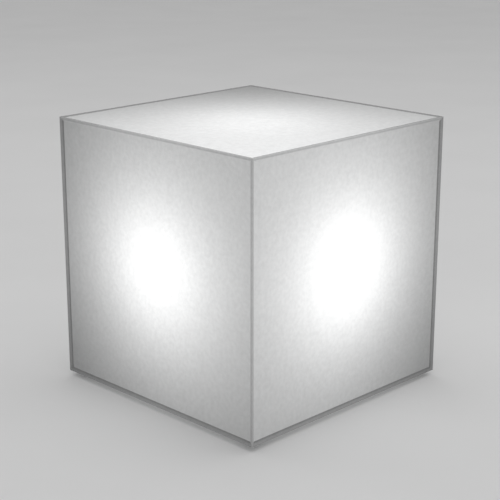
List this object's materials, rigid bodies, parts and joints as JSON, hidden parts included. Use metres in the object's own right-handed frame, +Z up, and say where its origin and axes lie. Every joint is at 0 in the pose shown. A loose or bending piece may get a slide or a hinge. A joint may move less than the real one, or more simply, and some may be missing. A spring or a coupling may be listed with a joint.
{
  "type": "led cube light",
  "caption": "Opal acrylic cube light: a mitred shade that lifts off a footed base, with a lampholder and a screw-in LED lamp at its centre.",
  "frame": {"origin": "on the ground under the middle of the cube", "axes": "+Z up through the lamp's axis; +Y towards the back panel, which has the supply inlet; -X is the left panel and -Y the front panel, the two sides that the picture shows"},
  "size_m": [0.2, 0.2, 0.204],
  "materials": {
    "opal_acrylic": "opal cast sheet, lit from inside",
    "clear_acrylic": "clear cast acrylic, sawn faces",
    "black_rubber": "moulded, matt",
    "white_foam": "closed-cell foam",
    "zinc_steel": "zinc plated",
    "stainless": "stainless",
    "porcelain": "glazed",
    "brass": "plain",
    "polyamide": "moulded",
    "brown_wire": "insulated",
    "blue_wire": "insulated",
    "cap_metal": "nickel coloured",
    "cap_glass": "dark, glossy",
    "solder": "soft sheen",
    "bulb_white": "satin white",
    "bulb_opal": "opal, lit",
    "bare_aluminium": "turned",
    "board_white": "white solder mask",
    "led_yellow": "phosphor",
    "board_green": "fibreglass board",
    "black_parts": "electronic parts"
  },
  "bodies": {
    "base": {"base_panel": "opal_acrylic", "seal_strips": "white_foam", "rubber_feet": "black_rubber", "shade_screws": "stainless", "shade_washers": "stainless", "holder_bracket": "zinc_steel", "bracket_screws": "stainless", "bracket_washers": "stainless", "bracket_nuts": "zinc_steel", "terminal_block": "polyamide", "clamp_sleeves": "brass", "clamp_screws": "zinc_steel", "block_screw": "stainless", "block_washer": "stainless", "block_nut": "zinc_steel", "live_wire": "brown_wire", "neutral_wire": "blue_wire", "holder_body": "porcelain", "screw_shell": "brass", "centre_contact": "brass", "holder_screws": "zinc_steel", "holder_nuts": "zinc_steel", "holder_terminals": "brass", "terminal_screws": "zinc_steel"},
    "shade": {"top_panel": "opal_acrylic", "left_panel": "opal_acrylic", "right_panel": "opal_acrylic", "front_panel": "opal_acrylic", "back_panel": "opal_acrylic", "inlet_bush": "black_rubber", "corner_blocks": "clear_acrylic", "threaded_inserts": "brass"},
    "bulb_contact": {"bulb_tip": "solder"},
    "bulb": {"cap_insulator": "cap_glass", "cap_shell": "cap_metal", "bulb_housing": "bulb_white", "heat_spreader": "bare_aluminium", "led_board": "board_white", "led_chips": "led_yellow", "driver_board": "board_green", "driver_parts": "black_parts", "bulb_globe": "bulb_opal"}
  },
  "joints": [
    {"name": "shade_lift", "type": "slide", "parent": "base", "child": "shade", "axis": [0, 0, 1], "range_m": [0, 0.21]},
    {"name": "bulb_rise", "type": "slide", "parent": "base", "child": "bulb_contact", "axis": [0, 0, 1], "range_m": [0, 0.01462]},
    {"name": "bulb_turn", "type": "hinge", "parent": "bulb_contact", "child": "bulb", "pos_m": [0, 0, 0.034], "axis": [0, 0, 1], "range_deg": [0, 1440]}
  ],
  "couplings": [
    {"joint": "bulb_rise", "follows": "bulb_turn", "m_per_rad": 0.00057773}
  ]
}
